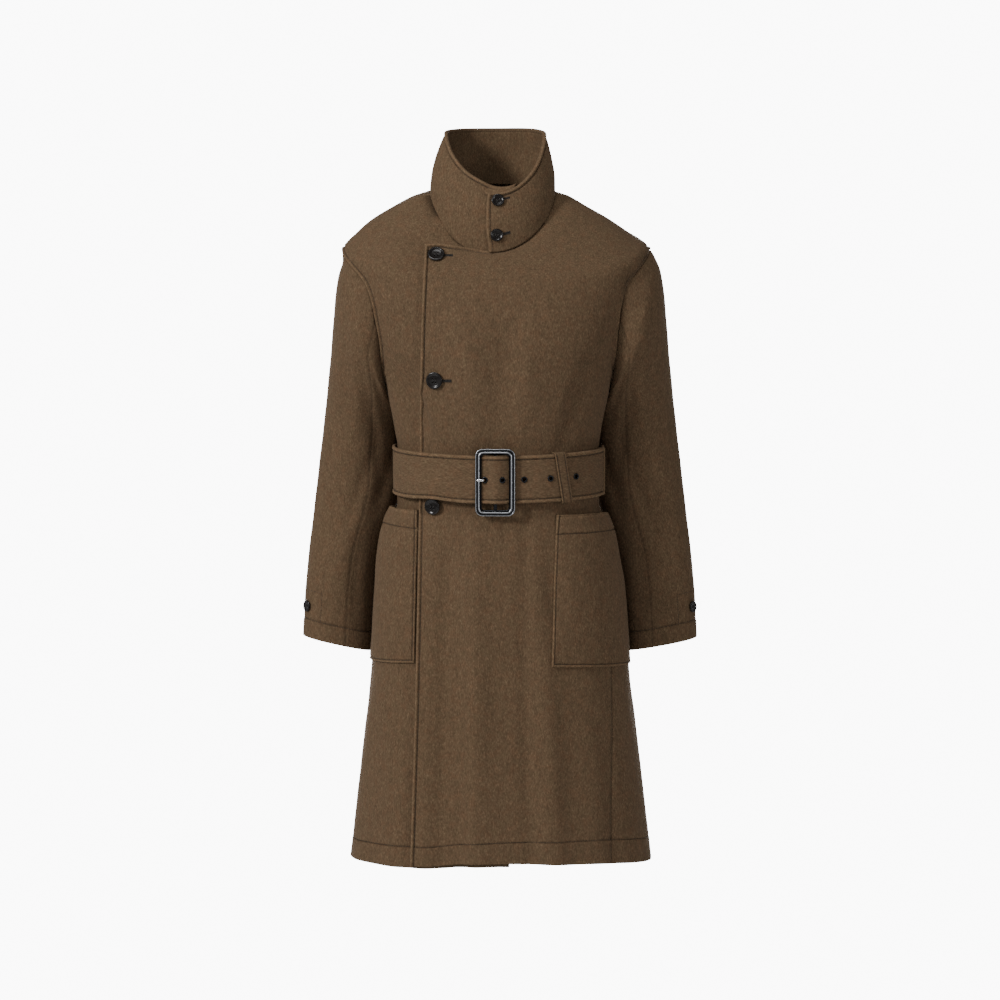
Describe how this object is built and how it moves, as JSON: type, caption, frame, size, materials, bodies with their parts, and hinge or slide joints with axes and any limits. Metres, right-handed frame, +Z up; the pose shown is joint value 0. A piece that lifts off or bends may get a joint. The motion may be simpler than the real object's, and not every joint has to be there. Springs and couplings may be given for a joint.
{
  "type": "single-breasted coat",
  "caption": "Belted single-breasted wool overcoat, worn form with no wearer: funnel collar, side closing with dark buttons, patch pockets, open neck, cuffs and hem.",
  "frame": {"origin": "inside the neck, level with the points where the shoulder seams meet the collar, where the wearer's shoulders hold the coat", "axes": "+Z up, +X to the wearer's left, +Y to the back; the front faces -Y"},
  "size_m": [0.662, 0.3336, 1.217],
  "materials": {
    "wool": "heathered brown wool melton with a short nap",
    "button": "dark polished horn look",
    "gunmetal": "dark gunmetal, satin with bright edges",
    "steel": "bright polished steel"
  },
  "bodies": {
    "root": {"front_left": "wool", "front_right": "wool", "back": "wool", "sleeve_left": "wool", "sleeve_right": "wool", "collar": "wool", "pocket_left": "wool", "pocket_right": "wool", "belt": "wool", "belt_keeper": "wool", "buckle": "gunmetal", "buckle_prong": "steel", "eyelet_1": "gunmetal", "eyelet_2": "gunmetal", "eyelet_3": "gunmetal", "eyelet_4": "gunmetal", "eyelet_5": "gunmetal", "button_front_1": "button", "button_front_2": "button", "button_front_3": "button", "button_collar_1": "button", "button_collar_2": "button", "button_cuff_left": "button", "button_cuff_right": "button"}
  },
  "joints": []
}
